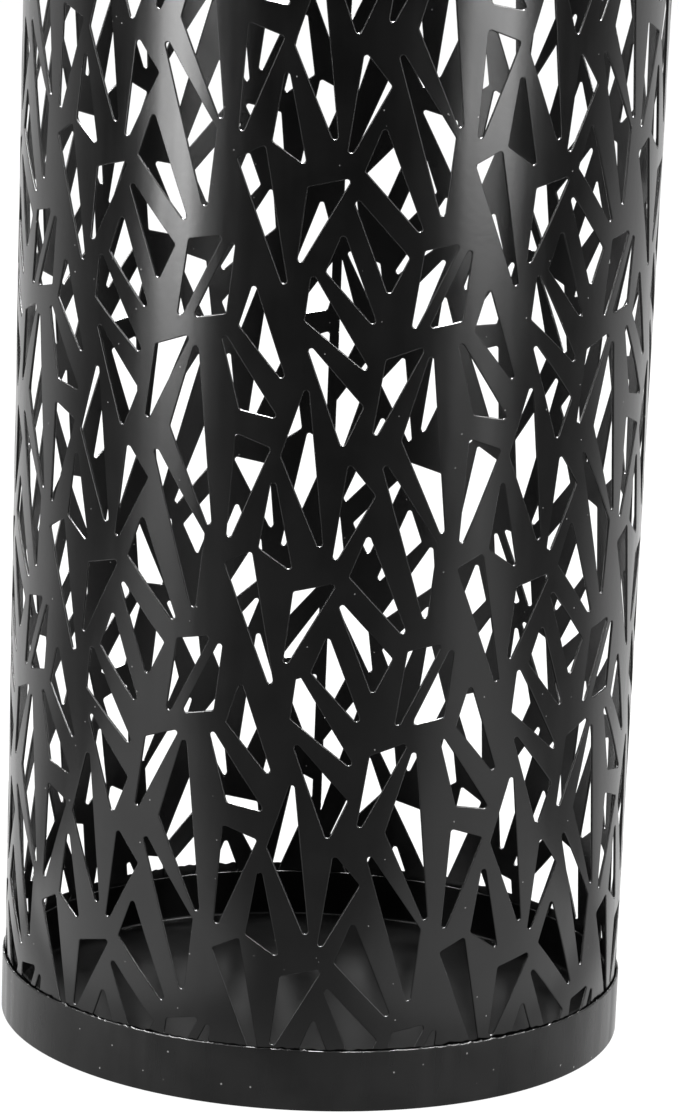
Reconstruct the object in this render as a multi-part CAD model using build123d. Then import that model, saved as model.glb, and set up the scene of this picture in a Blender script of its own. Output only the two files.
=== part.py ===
from build123d import *
from build123d import SkipClean
import math
import os

# Round sheet-steel umbrella stand. Z is up, the floor is z = 0, -Y is the front.
# The rolled body stands in a shallow base cup: a band round a floor plate.
# A loose drip tray lies in the cup, and a channel trim covers the mouth's edge.
# Lengths are millimetres and angles are degrees.

# Overall size
BODY_OUTER_RADIUS = 96.5
SHEET = 0.8
TOTAL_HEIGHT = 490.0

# Base cup
PLATE_THICKNESS = 1.2
BAND_HEIGHT = 18.8
BAND_CLEARANCE = 0.05
BAND_EDGE_ROUND = 0.3

# Rolled body. Its curved faces are divided into patches, to keep each one simple.
BODY_BOTTOM = PLATE_THICKNESS
BODY_TOP = 488.0
BODY_INNER_RADIUS = BODY_OUTER_RADIUS - SHEET
PATCHES_ROUND = 12
PATCHES_HIGH = 4

# Channel trim over the mouth's edge
TRIM_HEIGHT = 14.0
TRIM_SHEET = 0.78
TRIM_GAP = 0.02
TRIM_ROUND = 0.6

# Back seam: both ends of the rolled sheet keep a plain border, and a weld runs along the joint
SEAM_ANGLE = 90.0
SEAM_BORDER = 1.6
WELD_WIDTH = 2.4
WELD_HEIGHT = 0.7
WELD_END_GAP = 1.0

# Drip tray, loose on the floor plate
TRAY_RADIUS = 94.0
TRAY_HEIGHT = 16.0
TRAY_SHEET = 0.8
TRAY_CORNER = 2.0
TRAY_LIP_ROUND = 0.3

# Cut-out pattern, laid out on the flat sheet: x runs along the circumference from
# the front, y is the height. It repeats every PATTERN_WIDTH by PATTERN_HEIGHT.
PATTERN_WIDTH = 68.5
PATTERN_HEIGHT = 115.7
PATTERN_LOWEST = 12.0
PATTERN_HIGHEST = 470.0
CUT_CORNER = 0.8
SMALLEST_CUT = 12.0

CUT_OUTS = [
    [(-27.5, 85.5), (-17.0, 82.0), (-29.5, 51.5)],
    [(-7.0, 102.0), (-14.0, 80.0), (-0.5, 50.0)],
    [(-16.0, 75.5), (-19.5, 53.0), (-9.5, 46.5)],
    [(5.5, 79.0), (13.5, 69.5), (1.5, 47.5)],
    [(14.0, 82.0), (32.5, 55.5), (30.0, 30.5)],
    [(28.5, 112.5), (20.5, 85.5), (35.0, 54.5)],
    [(-33.5, 116.5), (-26.5, 92.5), (-15.0, 90.5)],
    [(-23.5, 129.5), (-27.5, 116.5), (-12.5, 99.5)],
    [(-7.0, 133.0), (-8.5, 119.0), (12.0, 103.0)],
    [(-8.5, 114.0), (9.0, 95.0), (3.5, 82.5)],
    [(1.5, 144.5), (-3.0, 133.0), (13.0, 116.0)],
    [(15.0, 108.5), (26.5, 112.5), (11.5, 83.5)],
    [(25.0, 139.5), (35.5, 141.5), (21.5, 114.0)],
    [(39.5, 143.0), (27.0, 117.5), (37.0, 119.5)],
    [(-21.5, 167.5), (-29.5, 163.5), (-12.5, 122.0)],
    [(-9.0, 156.5), (3.5, 159.5), (-11.5, 132.5)],
    [(3.0, 156.0), (20.5, 137.5), (15.0, 126.5)],
    [(12.0, 174.5), (7.0, 161.5), (25.5, 142.0)],
]


def tube(outer_radius, inner_radius, bottom, top):
    """A plain ring standing on z = bottom."""
    outside = Cylinder(outer_radius, top - bottom, align=(Align.CENTER, Align.CENTER, Align.MIN))
    inside = Cylinder(inner_radius, top - bottom, align=(Align.CENTER, Align.CENTER, Align.MIN))
    return Pos(0, 0, bottom) * (outside - inside)


def sheet_window(left, right):
    """The part of the flat sheet that may be cut, as a rectangle."""
    width = right - left
    height = PATTERN_HIGHEST - PATTERN_LOWEST
    middle = Pos((left + right) / 2, (PATTERN_LOWEST + PATTERN_HIGHEST) / 2)
    return middle * Rectangle(width, height)


def rounded(outline):
    """A flat cut-out with its corners rounded."""
    face = make_face(Polyline(*outline, close=True))
    return fillet(face.vertices(), CUT_CORNER)


def radial_plane(along):
    """A plane just inside the sheet, facing out, at a distance along the circumference."""
    angle = along / BODY_OUTER_RADIUS - math.pi / 2
    outward = (math.cos(angle), math.sin(angle), 0)
    sideways = (-math.sin(angle), math.cos(angle), 0)
    start = BODY_INNER_RADIUS - 3
    origin = (start * outward[0], start * outward[1], 0)
    return Plane(origin=origin, x_dir=sideways, z_dir=outward)


def cutters():
    """One straight cutter for each cut-out of the whole sheet."""
    seam = math.radians(SEAM_ANGLE) * BODY_OUTER_RADIUS
    quarter = math.pi / 2 * BODY_OUTER_RADIUS
    right = seam + quarter - SEAM_BORDER
    left = seam + quarter - 4 * quarter + SEAM_BORDER
    window = sheet_window(left, right)
    columns = range(math.floor(left / PATTERN_WIDTH) - 1, math.ceil(right / PATTERN_WIDTH) + 2)
    rows = range(-2, math.ceil(PATTERN_HIGHEST / PATTERN_HEIGHT) + 1)
    found = []
    for column in columns:
        for row in rows:
            for outline in CUT_OUTS:
                found += cutter(outline, column, row, left, right, window)
    return found


def cutter(outline, column, row, left, right, window):
    """The cutter for one copy of a cut-out, trimmed to the window, or nothing outside it."""
    points = [(x + column * PATTERN_WIDTH, y + row * PATTERN_HEIGHT) for x, y in outline]
    lowest_x = min(x for x, y in points)
    highest_x = max(x for x, y in points)
    lowest_y = min(y for x, y in points)
    highest_y = max(y for x, y in points)
    if highest_x <= left or lowest_x >= right:
        return []
    if highest_y <= PATTERN_LOWEST or lowest_y >= PATTERN_HIGHEST:
        return []
    middle = (lowest_x + highest_x) / 2
    face = rounded(points)
    inside_x = lowest_x > left and highest_x < right
    inside_y = lowest_y > PATTERN_LOWEST and highest_y < PATTERN_HIGHEST
    if not (inside_x and inside_y):
        face = face & window
    plane = radial_plane(middle)
    solids = []
    for part in face.faces():
        if part.area > SMALLEST_CUT:
            flat = Pos(-middle, 0, 0) * part
            placed = plane.location * flat
            solids.append(Solid.extrude(placed, plane.z_dir * (SHEET + 6)))
    return solids


def sheet_patch(row, column):
    """One block of the rolled sheet before it is cut."""
    turn = 360 / PATCHES_ROUND
    height = (BODY_TOP - BODY_BOTTOM) / PATCHES_HIGH
    middle = BODY_BOTTOM + (row + 0.5) * height
    section = Pos(BODY_OUTER_RADIUS - SHEET / 2, middle) * Rectangle(SHEET, height)
    block = revolve(Plane.XZ * section, Axis.Z, revolution_arc=turn)
    return Rot(0, 0, SEAM_ANGLE + column * turn) * block


def perforated_body():
    """The rolled sheet with its cut-outs, one solid whose faces stay in patches."""
    blocks = []
    for row in range(PATCHES_HIGH):
        for column in range(PATCHES_ROUND):
            blocks.append(sheet_patch(row, column).solid())
    with SkipClean():
        blank = blocks[0].fuse(*blocks[1:])
        return blank.solid().cut(*cutters()).solid()


def base_plate():
    """The flat floor of the base cup."""
    radius = BODY_OUTER_RADIUS + BAND_CLEARANCE - 0.02
    return Cylinder(radius, PLATE_THICKNESS, align=(Align.CENTER, Align.CENTER, Align.MIN))


def base_band():
    """The upright wall of the base cup, outside the body."""
    inner = BODY_OUTER_RADIUS + BAND_CLEARANCE
    band = tube(inner + SHEET, inner, 0, BAND_HEIGHT)
    outer_edges = band.edges().filter_by(GeomType.CIRCLE).filter_by(
        lambda edge: edge.radius > inner + SHEET / 2
    )
    return fillet(outer_edges, BAND_EDGE_ROUND)


def rim_trim():
    """A channel that covers the sheet's top edge, one leg inside and one outside."""
    low = TOTAL_HEIGHT - TRIM_HEIGHT
    web = TOTAL_HEIGHT - TRIM_SHEET
    slot_inner = BODY_INNER_RADIUS - TRIM_GAP
    slot_outer = BODY_OUTER_RADIUS + TRIM_GAP
    inner = slot_inner - TRIM_SHEET
    outer = slot_outer + TRIM_SHEET
    corners = [
        (inner, low),
        (slot_inner, low),
        (slot_inner, web),
        (slot_outer, web),
        (slot_outer, low),
        (outer, low),
        (outer, TOTAL_HEIGHT),
        (inner, TOTAL_HEIGHT),
    ]
    section = make_face(Polyline(*corners, close=True))
    top_corners = section.vertices().group_by(Axis.Y)[-1]
    section = fillet(top_corners, TRIM_ROUND)
    return revolve(Plane.XZ * section, Axis.Z)


def seam_weld():
    """A low weld run on the outside of the back seam."""
    section = Ellipse(WELD_WIDTH / 2, WELD_HEIGHT)
    bottom = BAND_HEIGHT + WELD_END_GAP
    run = Pos(0, BODY_OUTER_RADIUS, bottom) * extrude(section, PATTERN_HIGHEST - bottom)
    run = run - Cylinder(BODY_OUTER_RADIUS, 3 * TOTAL_HEIGHT)
    return Rot(0, 0, SEAM_ANGLE - 90) * run


def drip_tray():
    """A shallow round tray with an upright wall."""
    low = PLATE_THICKNESS
    up = (Align.CENTER, Align.CENTER, Align.MIN)
    solid = Pos(0, 0, low) * Cylinder(TRAY_RADIUS, TRAY_HEIGHT, align=up)
    bottom_edge = solid.edges().filter_by(GeomType.CIRCLE).sort_by(Axis.Z)[0]
    solid = fillet(bottom_edge, TRAY_CORNER)
    inner_radius = TRAY_RADIUS - TRAY_SHEET
    hollow = Pos(0, 0, low + TRAY_SHEET) * Cylinder(inner_radius, TRAY_HEIGHT, align=up)
    bottom_edge = hollow.edges().filter_by(GeomType.CIRCLE).sort_by(Axis.Z)[0]
    hollow = fillet(bottom_edge, TRAY_CORNER - TRAY_SHEET)
    tray = solid - hollow
    lip = tray.edges().filter_by(GeomType.CIRCLE).group_by(Axis.Z)[-1]
    return fillet(lip, TRAY_LIP_ROUND)


NODES = {
    "perforated_body": perforated_body,
    "base_band": base_band,
    "base_plate": base_plate,
    "rim_trim": rim_trim,
    "seam_weld": seam_weld,
    "drip_tray": drip_tray,
}

os.makedirs("parts", exist_ok=True)
for name, make in NODES.items():
    export_step(make(), f"parts/{name}.step", write_pcurves=False)
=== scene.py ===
import math

import bpy
import numpy as np
from mathutils import Matrix, Vector, geometry, noise


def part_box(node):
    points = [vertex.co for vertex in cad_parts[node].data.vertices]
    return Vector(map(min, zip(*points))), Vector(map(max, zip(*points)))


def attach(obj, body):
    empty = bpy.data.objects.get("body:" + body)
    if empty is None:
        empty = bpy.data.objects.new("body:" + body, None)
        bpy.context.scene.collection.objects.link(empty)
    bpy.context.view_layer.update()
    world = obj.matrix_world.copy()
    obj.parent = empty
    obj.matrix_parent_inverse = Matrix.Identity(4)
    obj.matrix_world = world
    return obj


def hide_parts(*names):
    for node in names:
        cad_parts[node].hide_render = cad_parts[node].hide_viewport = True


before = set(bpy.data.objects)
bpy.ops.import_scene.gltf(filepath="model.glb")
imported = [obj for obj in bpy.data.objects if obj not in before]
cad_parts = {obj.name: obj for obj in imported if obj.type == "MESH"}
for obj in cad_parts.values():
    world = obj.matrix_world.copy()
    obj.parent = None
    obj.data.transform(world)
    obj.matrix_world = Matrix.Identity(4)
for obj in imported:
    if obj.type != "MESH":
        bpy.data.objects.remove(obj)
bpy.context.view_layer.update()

# A round umbrella stand of black painted sheet steel. Lengths are metres, Z is up, -Y is the front.
# An angle runs round the stand from the front (0) towards +X, so the back seam is at pi.
MM = 0.001
BACK = math.pi

# Sizes taken from the frame
BODY_LOW, BODY_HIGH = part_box("perforated_body")
BAND_LOW, BAND_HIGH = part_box("base_band")
TRIM_LOW, TRIM_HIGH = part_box("rim_trim")
TRAY_LOW, TRAY_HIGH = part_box("drip_tray")
WELD_LOW, WELD_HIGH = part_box("seam_weld")

# Reading the CAD mesh
SAME_POINT = 0.001 * MM
ON_FACE = 0.006 * MM
LEAST_HEIGHT = 0.01
TINY = 1e-6

# Rolled sheet. It is laid flat in millimetres, from the front along its circumference and up.
SHEET = 0.8 * MM
PAINT_ROUND = 0.34 * MM
OUTLINE_TOLERANCE = 0.02
LONGEST_STEP = 5.0
BORDER_STEP = 3.2
TRIANGLE_TOLERANCE = 1e-5

# Base band
BAND_STEPS = 1500
BAND_OUTER_ROUND = 0.3 * MM
BAND_FOOT = 3 * MM
BAND_SHOULDER = 1.2 * MM

# Unevenness of the band's top edge: dips, small burrs that come in patches, and an inward lean
DIP = 0.25 * MM
DIP_LENGTH = 24 * MM
RIPPLE = 0.16 * MM
RIPPLE_LENGTH = 3.2 * MM
DIP_MIDDLE = 0.15 * MM
BURR = 1.1 * MM
BURR_LENGTH = 1.5 * MM
BURR_START = 0.15
BURR_LIMIT = 0.35 * MM
BURR_PATCH = 40 * MM
BURR_PATCH_MIDDLE = 0.5
BURR_PATCH_SWING = 1.5
LEAN = 0.12 * MM
LEAN_LENGTH = 5 * MM

# A bead sits in the corner between the band's top edge and the sheet. Its matt near-zero black with no shine
# is painted shadow for the gap there. Its height wanders, as a share of BEAD_HEIGHT.
BEAD_HEIGHT = 0.9 * MM
BEAD_WIDTH = 0.3 * MM
BEAD_LOWEST = MM / 10
BEAD_MIDDLE = 0.55
BEAD_PATCH = 50 * MM
BEAD_PATCH_SWING = 0.9
BEAD_CRUMB = 2.4 * MM
BEAD_CRUMB_SWING = 0.7
BEAD_LIMIT = 1.3

# Turned pieces
RING_STEPS = 300
TRIM_SHEET = 0.78 * MM
TRIM_CLEARANCE = 0.04 * MM
TRIM_ROUND = 0.6 * MM
TRIM_LEG_ROUND = 0.25 * MM
JOINT_DEPTH = 0.22 * MM
JOINT_REACH = 0.5 * MM
TRAY_SHEET = 0.8 * MM
TRAY_CORNER = 2.0 * MM
TRAY_LIP_ROUND = 0.3 * MM
TRAY_HUB = 4 * MM
TRAY_FLAT_END = 12 * MM

# Seam weld. Its section swells and shrinks as shares of its full size.
WELD_RIPPLE_LENGTH = 1.5 * MM
WELD_RIPPLE_STEPS = 5
WELD_RIPPLE = 0.18
WELD_WANDER = 0.06
WELD_WANDER_LENGTH = 9 * MM
WELD_END_LENGTH = 2 * MM
WELD_END_SIZE = 0.35
WELD_SECTION_STEPS = 8
WELD_FULL_WIDTH = 0.98
WELD_FULL_HEIGHT = 0.97
WELD_SINK = 0.02 * MM


# ---------------------------------------------------------------- meshes

def around(radius, angle, height):
    """The point at a radius, an angle from the front and a height."""
    return (radius * math.sin(angle), -radius * math.cos(angle), height)


def make_piece(name, points, faces, normals, material, body, replaced):
    """A smooth piece with a stated normal at each point, riding on a body."""
    mesh = bpy.data.meshes.new(name)
    mesh.from_pydata(points, [], faces)
    mesh.materials.append(material)
    mesh.polygons.foreach_set("use_smooth", [True] * len(mesh.polygons))
    mesh.update()
    mesh.normals_split_custom_set_from_vertices(normals)
    piece = bpy.data.objects.new(name, mesh)
    bpy.context.scene.collection.objects.link(piece)
    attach(piece, body)
    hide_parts(replaced)
    return piece


def rounded_outline(corners, steps=4):
    """A closed outline of (radius, height) points from corners given as (radius, height, rounding)."""
    outline = []
    for i, (r, z, rounding) in enumerate(corners):
        here = Vector((r, z))
        before = Vector(corners[i - 1][:2]) - here
        after = Vector(corners[(i + 1) % len(corners)][:2]) - here
        if rounding <= 0:
            outline.append(here)
            continue
        before.normalize()
        after.normalize()
        half = before.angle(after) / 2
        back = rounding / math.tan(half)
        centre = here + (before + after).normalized() * (rounding / math.sin(half))
        start = here + before * back - centre
        end = here + after * back - centre
        turn = start.angle_signed(end)
        for k in range(steps + 1):
            spin = Matrix.Rotation(-turn * k / steps, 2)
            outline.append(centre + spin @ start)
    return outline


def outline_normals(outline):
    """Outward normals of a counter-clockwise outline, in which long sides count more than short ones."""
    normals = []
    for i, here in enumerate(outline):
        before = here - outline[i - 1]
        after = outline[(i + 1) % len(outline)] - here
        total = Vector((before.y, -before.x)) + Vector((after.y, -after.x))
        normals.append(total.normalized())
    return normals


def level_with_ring(points, normals, n):
    """The normals of a ring of n-point sections, turned to stay square to its uneven run."""
    total = len(points)
    turned = []
    for i, normal in enumerate(normals):
        along = Vector(points[(i + n) % total]) - Vector(points[i - n])
        along.normalize()
        turned.append((normal - along * normal.dot(along)).normalized())
    return turned


def turned_ring(outline, steps, shape=None):
    """Points, faces and normals of a ring turned from a closed outline.

    shape(angle, r, z) may move a point."""
    sides = outline_normals(outline)
    points = []
    normals = []
    for k in range(steps):
        angle = 2 * math.pi * k / steps
        for here, side in zip(outline, sides):
            r, z = here
            if shape:
                r, z = shape(angle, r, z)
            points.append(around(r, angle, z))
            normals.append(Vector((side.x * math.sin(angle), -side.x * math.cos(angle), side.y)))
    n = len(outline)
    if shape:
        normals = level_with_ring(points, normals, n)
    faces = []
    for k in range(steps):
        here = k * n
        there = (k + 1) % steps * n
        for i in range(n):
            j = (i + 1) % n
            faces.append((here + i, there + i, there + j, here + j))
    return points, faces, normals


# ---------------------------------------------------------------- the rolled sheet

def read_node(name):
    """A CAD node's points, with doubles joined, and its triangles."""
    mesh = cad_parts[name].data
    mesh.calc_loop_triangles()
    points = np.empty(len(mesh.vertices) * 3)
    mesh.vertices.foreach_get("co", points)
    points = points.reshape(-1, 3)
    triangles = np.empty(len(mesh.loop_triangles) * 3, int)
    mesh.loop_triangles.foreach_get("vertices", triangles)
    keys = np.round(points / SAME_POINT).astype(np.int64)
    _, first, which = np.unique(keys, axis=0, return_index=True, return_inverse=True)
    return points[first], which.reshape(-1)[triangles].reshape(-1, 3)


def cut_out_outlines(radius):
    """The outline of each cut-out on the sheet's outer face, laid flat in millimetres.

    Each runs clockwise, seen from outside, so the opening is on its right."""
    points, triangles = read_node("perforated_body")
    on_face = np.abs(np.hypot(points[:, 0], points[:, 1]) - radius) < ON_FACE
    shell = triangles[on_face[triangles].all(axis=1)]
    sides = np.concatenate([shell[:, [0, 1]], shell[:, [1, 2]], shell[:, [2, 0]]])
    known = set(map(tuple, sides.tolist()))
    following = {a: b for a, b in sorted(known) if (b, a) not in known}
    outlines = []
    while following:
        start = min(following)
        loop = [start]
        here = following.pop(start)
        while here != start:
            loop.append(here)
            here = following.pop(here)
        x, y, z = points[loop].T
        flat = np.stack([np.arctan2(x, -y) * radius / MM, z / MM], axis=1)
        if np.ptp(flat[:, 1]) > LEAST_HEIGHT:
            outlines.append(flat)
    return outlines


def simplified(line, tolerance):
    """The points that an open line needs to stay within a tolerance of its shape."""
    start, end = line[0], line[-1]
    along = end - start
    length = np.hypot(*along)
    offset = line - start
    if length < TINY:
        away = np.hypot(offset[:, 0], offset[:, 1])
    else:
        away = np.abs(offset[:, 0] * along[1] - offset[:, 1] * along[0]) / length
    farthest = int(np.argmax(away))
    if away[farthest] <= tolerance:
        return [start, end]
    first = simplified(line[: farthest + 1], tolerance)
    return first[:-1] + simplified(line[farthest:], tolerance)


def even_outline(flat):
    """A cut-out's outline with only the points it needs, and none far apart round the sheet."""
    top = int(np.argmax(flat[:, 1]))
    line = np.concatenate([flat[top:], flat[: top + 1]])
    kept = simplified(line, OUTLINE_TOLERANCE)
    outline = []
    for a, b in zip(kept, kept[1:]):
        parts = max(1, math.ceil(abs(b[0] - a[0]) / LONGEST_STEP))
        for k in range(parts):
            outline.append(a + (b - a) * k / parts)
    return np.array(outline)


def away_from_opening(outline):
    """For each point of a clockwise outline, the unit direction into the metal and the mitre length."""
    step = np.roll(outline, -1, axis=0) - outline
    step /= np.hypot(step[:, 0], step[:, 1])[:, None]
    left = np.stack([-step[:, 1], step[:, 0]], axis=1)
    both = left + np.roll(left, 1, axis=0)
    both /= np.hypot(both[:, 0], both[:, 1])[:, None]
    mitre = 1 / np.clip((both * left).sum(axis=1), 0.5, 1)
    return both, mitre


def border_points(half, low, high):
    """Flat points round the sheet's border: along the bottom, up, back along the top, and down."""
    count = 2 * math.ceil(half / BORDER_STEP)
    across = [-half + 2 * half * k / count for k in range(count + 1)]
    rise = math.ceil((high - low) / (2 * BORDER_STEP))
    up = [low + (high - low) * k / rise for k in range(rise + 1)]
    ring = [(s, low) for s in across]
    ring += [(half, z) for z in up[1:]]
    ring += [(s, high) for s in reversed(across[:-1])]
    ring += [(-half, z) for z in reversed(up[1:-1])]
    return ring


def flat_sheet(border, outlines):
    """The flat sheet: its points, its triangles, and each cut-out's first point, outline and directions."""
    flat = list(border)
    owner = [-1] * len(border)
    sides = [(i, (i + 1) % len(border)) for i in range(len(border))]
    cuts = []
    for number, outline in enumerate(outlines):
        away, mitre = away_from_opening(outline)
        first = len(flat)
        count = len(outline)
        cuts.append((first, outline, away))
        moved = outline + away * (mitre * PAINT_ROUND / MM)[:, None]
        flat += [tuple(point) for point in moved]
        owner += [number] * count
        sides += [(first + i, first + (i + 1) % count) for i in range(count)]
    made = geometry.delaunay_2d_cdt([Vector(point) for point in flat], sides, [], 0, TRIANGLE_TOLERANCE)
    source = [ids[0] for ids in made[3]]
    triangles = []
    for triangle in made[2]:
        a, b, c = (source[i] for i in triangle)
        within_one_cut_out = owner[a] >= 0 and owner[a] == owner[b] == owner[c]
        if not within_one_cut_out:
            triangles.append((a, b, c))
    return flat, triangles, cuts


def joined_ends(border, half):
    """The point that stands for each border point, where the sheet's two ends meet at the back."""
    at_left = {round(z, 4): i for i, (s, z) in enumerate(border) if abs(s + half) < TINY}
    return [at_left[round(z, 4)] if abs(s - half) < TINY else i for i, (s, z) in enumerate(border)]


def rolled_sheet(material):
    """The perforated body, with the edge of each cut-out rounded as paint rounds it."""
    radius = BODY_HIGH.x
    inner_radius = radius - SHEET
    half = math.pi * radius / MM
    border = border_points(half, BODY_LOW.z / MM, BODY_HIGH.z / MM)
    outlines = [even_outline(flat) for flat in cut_out_outlines(radius)]
    flat, triangles, cuts = flat_sheet(border, outlines)
    same = joined_ends(border, half) + list(range(len(border), len(flat)))

    points = []
    normals = []
    for depth, sign in ((radius, 1), (inner_radius, -1)):
        for s, z in flat:
            angle = s * MM / radius
            points.append(around(depth, angle, z * MM))
            normals.append((sign * math.sin(angle), -sign * math.cos(angle), 0))
    inside = len(flat)

    faces = []
    for triangle in triangles:
        a, b, c = (same[i] for i in triangle)
        faces.append((a, b, c))
        faces.append((inside + c, inside + b, inside + a))

    for i in range(len(border)):
        j = (i + 1) % len(border)
        level = abs(border[i][1] - border[j][1]) < TINY
        if level:
            a, b = same[i], same[j]
            faces.append((b, a, inside + a, inside + b))

    for first, outline, away in cuts:
        count = len(outline)
        walls = []
        for depth in (radius - PAINT_ROUND, inner_radius + PAINT_ROUND):
            walls.append(len(points))
            for (s, z), (out_s, out_z) in zip(outline, away):
                angle = s * MM / radius
                points.append(around(depth, angle, z * MM))
                normals.append((-out_s * math.cos(angle), -out_s * math.sin(angle), -out_z))
        rows = [first, walls[0], walls[1], inside + first]
        for row, deeper in zip(rows, rows[1:]):
            for i in range(count):
                j = (i + 1) % count
                faces.append((row + j, row + i, deeper + i, deeper + j))
    return make_piece(
        "perforated_sheet", points, faces, normals, material, "stand", "perforated_body"
    )


# ---------------------------------------------------------------- the other pieces

def wander(angle, pitch, seed):
    """Smooth noise from -1 to 1 round the stand, with features about pitch long."""
    reach = BAND_HIGH.x / pitch
    return noise.noise(Vector((reach * math.sin(angle), reach * math.cos(angle), seed)))


def base_band(material, shadow):
    """The base cup's wall. Its top edge is uneven with small burrs. A thin bead runs between the edge and the
    sheet, coloured matt near-zero black as painted shadow in the gap there."""
    outer = BAND_HIGH.x
    inner = outer - SHEET
    low = BAND_LOW.z
    high = BAND_HIGH.z
    shoulder = high - BAND_SHOULDER
    bead_top = high + BEAD_HEIGHT
    outline = rounded_outline([
        (inner, low, 0),
        (outer, low, BAND_OUTER_ROUND),
        (outer, low + BAND_FOOT, 0),
        (outer, shoulder, 0),
        (outer, high, BAND_OUTER_ROUND),
        (inner + BEAD_WIDTH, high, 0),
        (inner + BEAD_WIDTH / 3, bead_top, 0),
        (inner, bead_top, 0),
        (inner, shoulder, 0),
    ])

    def uneven(angle, r, z):
        if z <= shoulder:
            return r, z
        share = min(1.0, (z - shoulder) / (high - shoulder))
        wave = DIP * wander(angle, DIP_LENGTH, 1.0) + RIPPLE * wander(angle, RIPPLE_LENGTH, 2.0)
        burr = max(0.0, wander(angle, BURR_LENGTH, 3.0) - BURR_START) * BURR
        burr *= max(0.0, BURR_PATCH_MIDDLE + wander(angle, BURR_PATCH, 4.0) * BURR_PATCH_SWING)
        drop = min(0.0, wave - DIP_MIDDLE) * share
        lean = -max(0.0, wander(angle, LEAN_LENGTH, 5.0)) * LEAN * share
        if z > high + BEAD_LOWEST:
            ragged = BEAD_MIDDLE + BEAD_PATCH_SWING * wander(angle, BEAD_PATCH, 6.0)
            ragged += BEAD_CRUMB_SWING * wander(angle, BEAD_CRUMB, 7.0)
            return r, z + drop + (min(BEAD_LIMIT, max(0.0, ragged)) - 1) * BEAD_HEIGHT
        return r + lean, z + drop + min(burr, BURR_LIMIT) * share

    points, faces, normals = turned_ring(outline, BAND_STEPS, uneven)
    band = make_piece("base_cup_band", points, faces, normals, material, "stand", "base_band")
    # The bead's slope takes the second material, which is painted shadow in the gap between the band's edge
    # and the sheet.
    band.data.materials.append(shadow)
    count = len(outline)
    bead = next(i for i, corner in enumerate(outline) if corner.y > high + BEAD_LOWEST)
    for polygon in band.data.polygons:
        if polygon.index % count in (bead - 1, bead):
            polygon.material_index = 1
    return band


def rim_trim(material):
    """The channel over the mouth's edge, with a hairline where its ends meet at the back."""
    outer = TRIM_HIGH.x
    low = TRIM_LOW.z
    high = TRIM_HIGH.z
    wall = TRIM_SHEET
    inner = outer - 2 * wall - (SHEET + TRIM_CLEARANCE)
    outline = rounded_outline([
        (inner, low, TRIM_LEG_ROUND),
        (inner + wall, low, TRIM_LEG_ROUND),
        (inner + wall, high - wall, 0),
        (outer - wall, high - wall, 0),
        (outer - wall, low, TRIM_LEG_ROUND),
        (outer, low, TRIM_LEG_ROUND),
        (outer, high, TRIM_ROUND),
        (inner, high, TRIM_ROUND),
    ])
    middle = (inner + outer) / 2

    def butt_joint(angle, r, z):
        near = abs(angle - BACK) * outer
        at_joint = near < JOINT_REACH
        groove = JOINT_DEPTH * max(0.0, 1 - near / JOINT_REACH)
        if at_joint and z > low + MM and abs(r - middle) > wall / 2:
            r += groove if r < middle else -groove
        if at_joint and z > high - wall / 2:
            z -= groove
        return r, z

    points, faces, normals = turned_ring(outline, RING_STEPS, butt_joint)
    return make_piece("mouth_trim", points, faces, normals, material, "stand", "rim_trim")


def drip_tray(material):
    """The loose tray: a turned dish with a rounded foot and lip."""
    radius = TRAY_HIGH.x
    low = TRAY_LOW.z
    high = TRAY_HIGH.z
    floor = low + TRAY_SHEET
    wall = radius - TRAY_SHEET
    flat_end = radius - TRAY_FLAT_END
    ring = rounded_outline([
        (TRAY_HUB, low, 0),
        (flat_end, low, 0),
        (radius, low, TRAY_CORNER),
        (radius, high, TRAY_LIP_ROUND),
        (wall, high, TRAY_LIP_ROUND),
        (wall, floor, TRAY_CORNER - TRAY_SHEET),
        (flat_end, floor, 0),
        (TRAY_HUB, floor, 0),
    ])
    points, faces, normals = turned_ring(ring, RING_STEPS)
    count = len(ring)
    last = count - 1
    faces = [face for face in faces if not (face[0] % count == last and face[3] % count == 0)]
    # a fan closes the hole in the middle, below and above
    for index, level, up in ((0, low, -1), (last, floor, 1)):
        centre = len(points)
        points.append((0, 0, level))
        normals.append((0, 0, up))
        for k in range(RING_STEPS):
            a = k * count + index
            b = (k + 1) % RING_STEPS * count + index
            faces.append((centre, a, b) if up > 0 else (centre, b, a))
            normals[a] = (0, 0, up)
    return make_piece("drip_tray_dish", points, faces, normals, material, "tray", "drip_tray")


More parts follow.
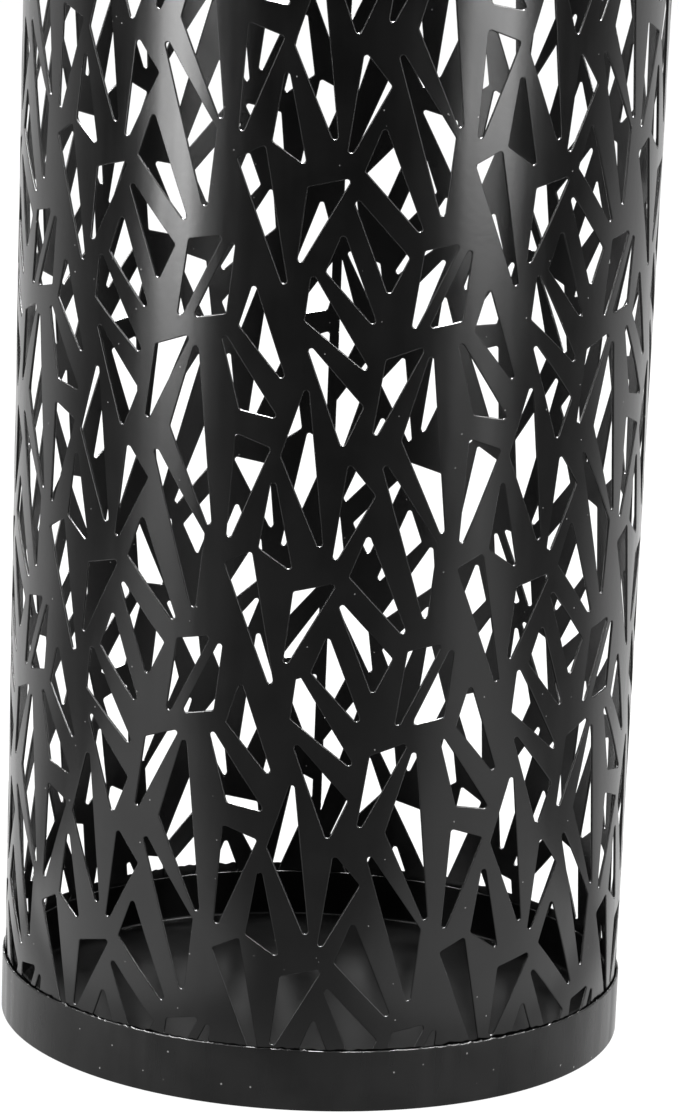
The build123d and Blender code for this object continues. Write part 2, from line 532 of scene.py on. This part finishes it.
def seam_weld(material):
    """The weld along the back seam, a low bead with ripples."""
    width = (WELD_HIGH.x - WELD_LOW.x) / 2
    sheet = BODY_HIGH.x
    height = WELD_HIGH.y - sheet
    length = WELD_HIGH.z - WELD_LOW.z
    rings = round(length / WELD_RIPPLE_LENGTH) * WELD_RIPPLE_STEPS
    points = []
    for k in range(rings + 1):
        along = k / rings
        z = WELD_LOW.z + length * along
        phase = (k % WELD_RIPPLE_STEPS) / WELD_RIPPLE_STEPS
        swell = 1 - WELD_RIPPLE + WELD_RIPPLE * math.sin(math.pi * phase)
        swell += WELD_WANDER * noise.noise(Vector((0, 0, z / WELD_WANDER_LENGTH)))
        end = min(along, 1 - along) * length
        swell *= min(1.0, WELD_END_SIZE + (1 - WELD_END_SIZE) * end / WELD_END_LENGTH)
        swell = min(swell, 1.0)
        for i in range(WELD_SECTION_STEPS + 1):
            turn = math.pi * i / WELD_SECTION_STEPS
            x = -width * WELD_FULL_WIDTH * swell * math.cos(turn)
            rise = height * swell * math.sin(turn) * WELD_FULL_HEIGHT
            y = math.sqrt(sheet * sheet - x * x) - WELD_SINK + rise
            points.append((x, y, z))
    n = WELD_SECTION_STEPS + 1
    faces = []
    for k in range(rings):
        for i in range(WELD_SECTION_STEPS):
            a = k * n + i
            faces.append((a + n, a + n + 1, a + 1, a))
        faces.append(((k + 1) * n, k * n, k * n + n - 1, (k + 1) * n + n - 1))
    faces.append(tuple(range(n)))
    last = rings * n
    faces.append(tuple(range(last + n - 1, last - 1, -1)))
    mesh = bpy.data.meshes.new("weld_shape")
    mesh.from_pydata(points, [], faces)
    mesh.update()
    normals = [tuple(v.normal) for v in mesh.vertices]
    bpy.data.meshes.remove(mesh)
    return make_piece("back_seam_weld", points, faces, normals, material, "stand", "seam_weld")


# ---------------------------------------------------------------- materials

# Noise scales are features per metre. Most of a noise's values lie between NOISE_LOW and NOISE_HIGH.
PAINT_IOR = 1.34
BAND_IOR = 1.28
PLASTIC_IOR = 1.3
NOISE_LOW = 0.3
NOISE_HIGH = 0.7
TONE_SCALE = 60
DUST_SCALE = 170
DUST_CORE = 0.6
DUST_COLOUR = (0.09, 0.09, 0.088)
STREAK_SCALE = 150
STREAK_SQUASH = (1, 1, 0.12)
DENT_SCALE = 34
DENT_DEPTH = 0.4 * MM
DENT_STRENGTH = 0.12
PEEL_SCALE = 520
PEEL_DEPTH = 0.12 * MM
GRAIN_SCALE = 1500
GRAIN_DEPTH = 0.05 * MM
GRAIN_STRENGTH = 0.04


def grey(level):
    """The colour with this much red, green and blue."""
    return (level, level, level)


# Brightness of the surround by direction, from the front (0) through the sides (0.5) to the back (1); the
# floor's painted glow follows it too
SURROUND = [(0.0, grey(0.04)), (0.5, grey(0.08)), (0.6, grey(0.4)), (0.72, grey(1.0))]
# Painted glow of the floor by distance from the middle, as a share of GLOW_REACH
NEAR_FLOOR = [(0.068, grey(1.0)), (0.09, grey(0.5)), (0.2, grey(0.28)), (0.45, grey(0.12)), (1.0, grey(0.03))]
GLOW_REACH = 2.0


def new_material(name):
    """A new material, its node tree, its Principled shader and the piece's own coordinates."""
    material = bpy.data.materials.new(name)
    material.use_nodes = True
    tree = material.node_tree
    shader = tree.nodes["Principled BSDF"]
    where = tree.nodes.new("ShaderNodeTexCoord")
    return material, tree, shader, where.outputs["Object"]


def stretched(tree, where, scale):
    """Coordinates scaled along each axis."""
    mapping = tree.nodes.new("ShaderNodeMapping")
    mapping.inputs["Scale"].default_value = scale
    tree.links.new(where, mapping.inputs["Vector"])
    return mapping.outputs["Vector"]


def noise_value(tree, where, scale, detail=2.0):
    """A noise texture's value."""
    node = tree.nodes.new("ShaderNodeTexNoise")
    node.inputs["Scale"].default_value = scale
    node.inputs["Detail"].default_value = detail
    tree.links.new(where, node.inputs["Vector"])
    return node.outputs["Fac"]


def ramp(tree, value, stops):
    """A value or colour that follows stops of (position, colour)."""
    node = tree.nodes.new("ShaderNodeValToRGB")
    node.color_ramp.interpolation = "EASE"
    elements = node.color_ramp.elements
    while len(elements) < len(stops):
        elements.new(0.5)
    for element, (position, colour) in zip(elements, stops):
        element.position = position
        element.color = (*colour, 1)
    tree.links.new(value, node.inputs["Fac"])
    return node.outputs["Color"]


def mottled(tree, where, scale, detail, dark, light):
    """A grey that wanders between two levels."""
    tone = noise_value(tree, where, scale, detail)
    return ramp(tree, tone, [(NOISE_LOW, grey(dark)), (NOISE_HIGH, grey(light))])


def between(tree, value, low, high, start=NOISE_LOW, end=NOISE_HIGH):
    """The value's range from start to end, spread from low to high."""
    node = tree.nodes.new("ShaderNodeMapRange")
    node.inputs["From Min"].default_value = start
    node.inputs["From Max"].default_value = end
    node.inputs["To Min"].default_value = low
    node.inputs["To Max"].default_value = high
    tree.links.new(value, node.inputs["Value"])
    return node.outputs["Result"]


def mixed(tree, amount, under, over):
    """A constant colour over another by an amount."""
    node = tree.nodes.new("ShaderNodeMix")
    node.data_type = "RGBA"
    tree.links.new(amount, node.inputs["Factor"])
    tree.links.new(under, node.inputs["A"])
    node.inputs["B"].default_value = (*over, 1)
    return node.outputs["Result"]


def bump(tree, height, strength, distance, under=None):
    """A normal tilted by a height, on top of another normal if there is one."""
    node = tree.nodes.new("ShaderNodeBump")
    node.inputs["Strength"].default_value = strength
    node.inputs["Distance"].default_value = distance
    tree.links.new(height, node.inputs["Height"])
    if under:
        tree.links.new(under, node.inputs["Normal"])
    return node.outputs["Normal"]


def black_paint(name, dark, light, rough, specks, peel, ior):
    """Satin black paint on steel: orange peel, faint streaks down the sheet, and dust specks of a size."""
    material, tree, shader, where = new_material(name)
    cells = tree.nodes.new("ShaderNodeTexVoronoi")
    cells.inputs["Scale"].default_value = DUST_SCALE
    tree.links.new(where, cells.inputs["Vector"])
    dust = between(tree, cells.outputs["Distance"], 1.0, 0.0, specks * DUST_CORE, specks)
    clean = mottled(tree, where, TONE_SCALE, 3, dark, light)
    tree.links.new(mixed(tree, dust, clean, DUST_COLOUR), shader.inputs["Base Color"])
    streaks = noise_value(tree, stretched(tree, where, STREAK_SQUASH), STREAK_SCALE, 3)
    tree.links.new(between(tree, streaks, *rough), shader.inputs["Roughness"])
    dents = bump(tree, noise_value(tree, where, DENT_SCALE), DENT_STRENGTH, DENT_DEPTH)
    normal = bump(tree, noise_value(tree, where, PEEL_SCALE), peel, PEEL_DEPTH, dents)
    tree.links.new(normal, shader.inputs["Normal"])
    shader.inputs["IOR"].default_value = ior
    return material


def moulded_black(name):
    """Black plastic with a fine moulded grain."""
    material, tree, shader, where = new_material(name)
    tone = mottled(tree, where, scale=90, detail=4, dark=0.0004, light=0.0008)
    tree.links.new(tone, shader.inputs["Base Color"])
    shine = noise_value(tree, where, TONE_SCALE)
    tree.links.new(between(tree, shine, low=0.21, high=0.25), shader.inputs["Roughness"])
    grain = noise_value(tree, where, GRAIN_SCALE, 3)
    tree.links.new(bump(tree, grain, GRAIN_STRENGTH, GRAIN_DEPTH), shader.inputs["Normal"])
    shader.inputs["IOR"].default_value = PLASTIC_IOR
    shader.inputs["Specular IOR Level"].default_value = 0.13
    return material


def painted_joint_shadow(name):
    """Matt near-zero black with no shine: painted shadow for the gap at a joint."""
    material, tree, shader, where = new_material(name)
    tone = mottled(tree, where, scale=400, detail=2, dark=0.0002, light=0.0005)
    tree.links.new(tone, shader.inputs["Base Color"])
    shader.inputs["Roughness"].default_value = 0.9
    shader.inputs["Specular IOR Level"].default_value = 0.0
    return material


def glowing_floor(name):
    """A near-black floor that glows with painted light, not lit by lamps: bright at the back and close to the
    stand, dimmer in front.
    """
    material, tree, shader, where = new_material(name)
    tone = mottled(tree, where, scale=3, detail=2, dark=0.008, light=0.01)
    tree.links.new(tone, shader.inputs["Base Color"])
    shader.inputs["Roughness"].default_value = 0.9
    shader.inputs["Specular IOR Level"].default_value = 0.0
    reach = tree.nodes.new("ShaderNodeVectorMath")
    reach.operation = "LENGTH"
    tree.links.new(where, reach.inputs[0])
    unit = tree.nodes.new("ShaderNodeVectorMath")
    unit.operation = "NORMALIZE"
    tree.links.new(where, unit.inputs[0])
    split = tree.nodes.new("ShaderNodeSeparateXYZ")
    tree.links.new(unit.outputs["Vector"], split.inputs["Vector"])
    behind = ramp(tree, between(tree, split.outputs["Y"], 0, 1, -1, 1), SURROUND)
    falloff = ramp(tree, between(tree, reach.outputs["Value"], 0, 1, 0, GLOW_REACH), NEAR_FLOOR)
    lighter = tree.nodes.new("ShaderNodeMix")
    lighter.data_type = "RGBA"
    lighter.blend_type = "LIGHTEN"
    lighter.inputs["Factor"].default_value = 1.0
    tree.links.new(behind, lighter.inputs["A"])
    tree.links.new(falloff, lighter.inputs["B"])
    # The floor's brightness is a painted glow: emission that is strongest behind and close to the stand.
    tree.links.new(lighter.outputs["Result"], shader.inputs["Emission Color"])
    shader.inputs["Emission Strength"].default_value = 1.0
    return material


# ---------------------------------------------------------------- studio and camera

FLOOR_SIZE = 8.0
GLOW_WIDTH = 0.3
GLOW_LENGTH = 1.1
GLOW_DISTANCE = 0.7
GLOW_HEIGHT = 0.004
SENSOR_WIDTH = 36
CAMERA_DISTANCE = 1.2544
CAMERA_HEIGHT = 0.41779
CAMERA_YAW = math.radians(0.298)
CAMERA_PITCH = math.radians(14.752)
CAMERA_ROLL = math.radians(2.27)
CAMERA_LENS = 134.0
CAMERA_SHIFT_X = -0.0002
CAMERA_SHIFT_Y = 0.1652


def studio():
    """A floor made pale by a painted glow, and a surround that is white behind the stand and darker in front.
    """
    mesh = bpy.data.meshes.new("floor")
    side = FLOOR_SIZE / 2
    corners = [(-side, -side, 0), (side, -side, 0), (side, side, 0), (-side, side, 0)]
    mesh.from_pydata(corners, [], [(0, 1, 2, 3)])
    mesh.materials.append(glowing_floor("glowing_floor"))
    floor = bpy.data.objects.new("floor", mesh)
    bpy.context.scene.collection.objects.link(floor)

    world = bpy.data.worlds.new("studio")
    bpy.context.scene.world = world
    world.use_nodes = True
    tree = world.node_tree
    background = tree.nodes["Background"]
    direction = tree.nodes.new("ShaderNodeTexCoord")
    split = tree.nodes.new("ShaderNodeSeparateXYZ")
    tree.links.new(direction.outputs["Generated"], split.inputs["Vector"])
    colour = ramp(tree, between(tree, split.outputs["Y"], 0, 1, -1, 1), SURROUND)
    tree.links.new(colour, background.inputs["Color"])
    background.inputs["Strength"].default_value = 1.0


def area_light(name, width, tall, watts, place):
    """A rectangular light that the camera doesn't see."""
    light = bpy.data.lights.new(name, "AREA")
    light.shape = "RECTANGLE"
    light.size = width
    light.size_y = tall
    light.energy = watts
    lamp = bpy.data.objects.new(name, light)
    bpy.context.scene.collection.objects.link(lamp)
    lamp.location = place
    lamp.visible_camera = False
    return lamp


def soft_box(name, degrees, distance, height, width, tall, watts, aim):
    """A light at an angle from the front, facing the stand's axis at the height aim."""
    lamp = area_light(name, width, tall, watts, around(distance, math.radians(degrees), height))
    facing = Vector((0, 0, aim)) - lamp.location
    lamp.rotation_euler = facing.to_track_quat("-Z", "Y").to_euler()


def floor_glow(name, degrees, watts):
    """A strip of light lying on the floor at an angle from the front, shining upwards."""
    angle = math.radians(degrees)
    lamp = area_light(name, GLOW_WIDTH, GLOW_LENGTH, watts, around(GLOW_DISTANCE, angle, GLOW_HEIGHT))
    lamp.rotation_euler = (math.pi, 0, angle)


def camera():
    """The camera, turned by yaw, pitch and roll from looking along +Y."""
    data = bpy.data.cameras.new("camera")
    data.sensor_width = SENSOR_WIDTH
    data.lens = CAMERA_LENS
    data.shift_x = CAMERA_SHIFT_X
    data.shift_y = CAMERA_SHIFT_Y
    data.clip_start = 0.01
    lens = bpy.data.objects.new("camera", data)
    bpy.context.scene.collection.objects.link(lens)
    forward = Vector((
        math.sin(CAMERA_YAW) * math.cos(CAMERA_PITCH),
        math.cos(CAMERA_YAW) * math.cos(CAMERA_PITCH),
        -math.sin(CAMERA_PITCH),
    ))
    level = Vector((math.cos(CAMERA_YAW), -math.sin(CAMERA_YAW), 0))
    upward = level.cross(forward)
    right = level * math.cos(CAMERA_ROLL) + upward * math.sin(CAMERA_ROLL)
    up = upward * math.cos(CAMERA_ROLL) - level * math.sin(CAMERA_ROLL)
    axes = Matrix((right, up, -forward)).transposed()
    place = Matrix.Translation((0, -CAMERA_DISTANCE, CAMERA_HEIGHT))
    lens.matrix_world = place @ axes.to_4x4()
    bpy.context.scene.camera = lens


body_paint = black_paint(
    "body_paint", dark=0.001, light=0.002, rough=(0.19, 0.26), specks=0.045, peel=0.1, ior=PAINT_IOR
)
band_paint = black_paint(
    "band_paint", dark=0.001, light=0.003, rough=(0.22, 0.38), specks=0.06, peel=0.2, ior=BAND_IOR
)
weld_paint = black_paint(
    "weld_paint", dark=0.004, light=0.007, rough=(0.30, 0.42), specks=0.03, peel=0.3, ior=PAINT_IOR
)

rolled_sheet(body_paint)
base_band(band_paint, painted_joint_shadow("joint_painted_shadow"))
rim_trim(body_paint)
seam_weld(weld_paint)
drip_tray(moulded_black("tray_plastic"))
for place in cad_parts["base_plate"].material_slots:
    place.material = band_paint

studio()
soft_box("left_box", -57, distance=1.5, height=0.68, width=0.42, tall=1.3, watts=44, aim=0.68)
soft_box("right_box", 52, distance=1.5, height=0.75, width=0.56, tall=1.3, watts=38, aim=0.75)
soft_box("top_box", 180, distance=0.8, height=1.8, width=0.9, tall=0.9, watts=700, aim=0.25)
soft_box("high_left_box", -80, distance=1.3, height=1.9, width=0.8, tall=0.8, watts=220, aim=0.25)
soft_box("high_right_box", 80, distance=1.3, height=1.9, width=0.8, tall=0.8, watts=220, aim=0.25)
floor_glow("left_glow", -60, watts=1.6)
floor_glow("right_glow", 54, watts=1.3)
camera()
bpy.context.scene.view_settings.view_transform = "Standard"
